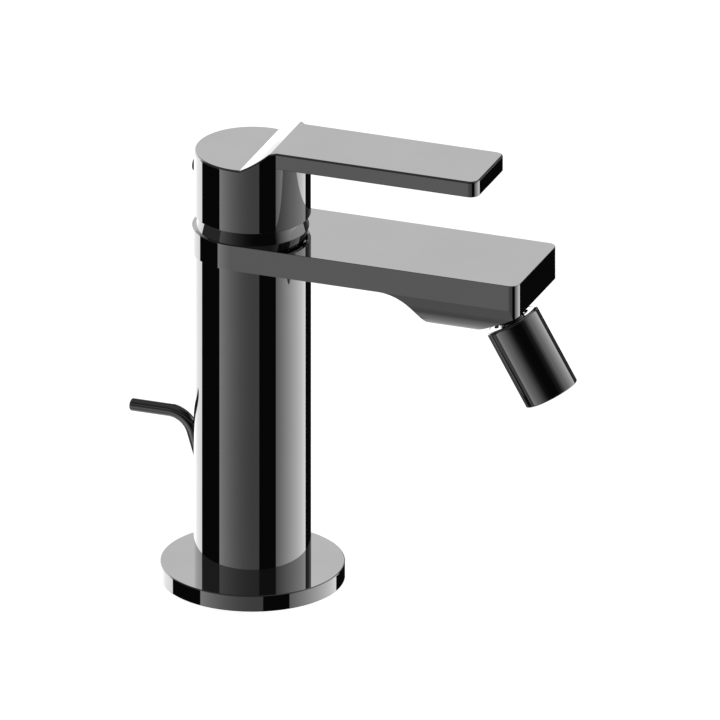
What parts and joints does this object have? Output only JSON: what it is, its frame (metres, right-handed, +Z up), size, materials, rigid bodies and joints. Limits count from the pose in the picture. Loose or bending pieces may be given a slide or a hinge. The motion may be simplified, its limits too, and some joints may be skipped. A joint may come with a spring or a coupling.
{
  "type": "bidet mixer",
  "caption": "Lever bidet mixer in polished black chrome: round column on a rosette, flat spout with a swivelling ball-joint aerator, flat lever handle and a bent pop-up lift rod at the rear.",
  "frame": {"origin": "centre of the column on the deck plane, where the fixing stud enters the foot", "axes": "+Z up along the column, +X forward along the spout and lever, +Y to the left of someone looking forward along the spout"},
  "size_m": [0.1534, 0.06, 0.1557],
  "materials": {
    "black_chrome": "polished black chrome",
    "brass": "machined",
    "cartridge_plastic": "moulded",
    "bush_plastic": "moulded",
    "ceramic": "lapped alumina",
    "steel": "machined",
    "dark_steel": "blackened",
    "rubber": "matte",
    "regulator_plastic": "moulded",
    "insert_plastic": "moulded"
  },
  "bodies": {
    "tap_body": {"base_rosette": "black_chrome", "base_gasket": "rubber", "rosette_o_ring": "rubber", "column_body": "black_chrome", "rod_guide_bush": "bush_plastic", "spout": "black_chrome", "spout_gasket": "rubber", "neck_ring": "black_chrome", "cartridge_nut": "brass", "cartridge_housing": "cartridge_plastic", "cartridge_base": "cartridge_plastic", "cartridge_port_seals": "rubber", "fixed_ceramic_disc": "ceramic", "ball_stud": "black_chrome"},
    "mixing_turret": {"cartridge_rotor": "cartridge_plastic", "lever_pivot_pin": "steel"},
    "lever_handle": {"handle": "black_chrome", "cartridge_stem": "steel", "handle_set_screw": "dark_steel", "index_plug": "bush_plastic"},
    "disc_slider": {"moving_ceramic_disc": "ceramic", "disc_carrier": "cartridge_plastic"},
    "aerator_gimbal": {"ball_liner": "cartridge_plastic"},
    "aerator": {"nozzle_barrel": "black_chrome", "ball_retaining_ring": "black_chrome", "ball_seal": "rubber", "aerator_washer": "rubber", "flow_regulator": "regulator_plastic", "aerator_screen": "steel", "aerator_housing": "insert_plastic"},
    "pop_up_rod": {"lift_rod": "black_chrome"}
  },
  "joints": [
    {"name": "temperature", "type": "hinge", "parent": "tap_body", "child": "mixing_turret", "pos_m": [0, 0, 0.11945], "axis": [0, 0, 1], "range_deg": [-50, 50]},
    {"name": "flow_lift", "type": "hinge", "parent": "mixing_turret", "child": "lever_handle", "pos_m": [0, 0, 0.11945], "axis": [0, -1, 0], "range_deg": [0, 11]},
    {"name": "disc_slide", "type": "slide", "parent": "mixing_turret", "child": "disc_slider", "axis": [1, 0, 0], "range_m": [0, 0.0014]},
    {"name": "aerator_pitch", "type": "hinge", "parent": "tap_body", "child": "aerator_gimbal", "pos_m": [0.0923, 0, 0.09845], "axis": [0, 1, 0], "range_deg": [-10, 10]},
    {"name": "aerator_sway", "type": "hinge", "parent": "aerator_gimbal", "child": "aerator", "pos_m": [0.0923, 0, 0.09845], "axis": [0.866, 0, 0.5], "range_deg": [-10, 10]},
    {"name": "rod_lift", "type": "slide", "parent": "tap_body", "child": "pop_up_rod", "axis": [-0.2857, 0, 0.9583], "range_m": [0, 0.02]}
  ],
  "couplings": [
    {"joint": "disc_slide", "follows": "flow_lift", "m_per_rad": 0.0067}
  ]
}
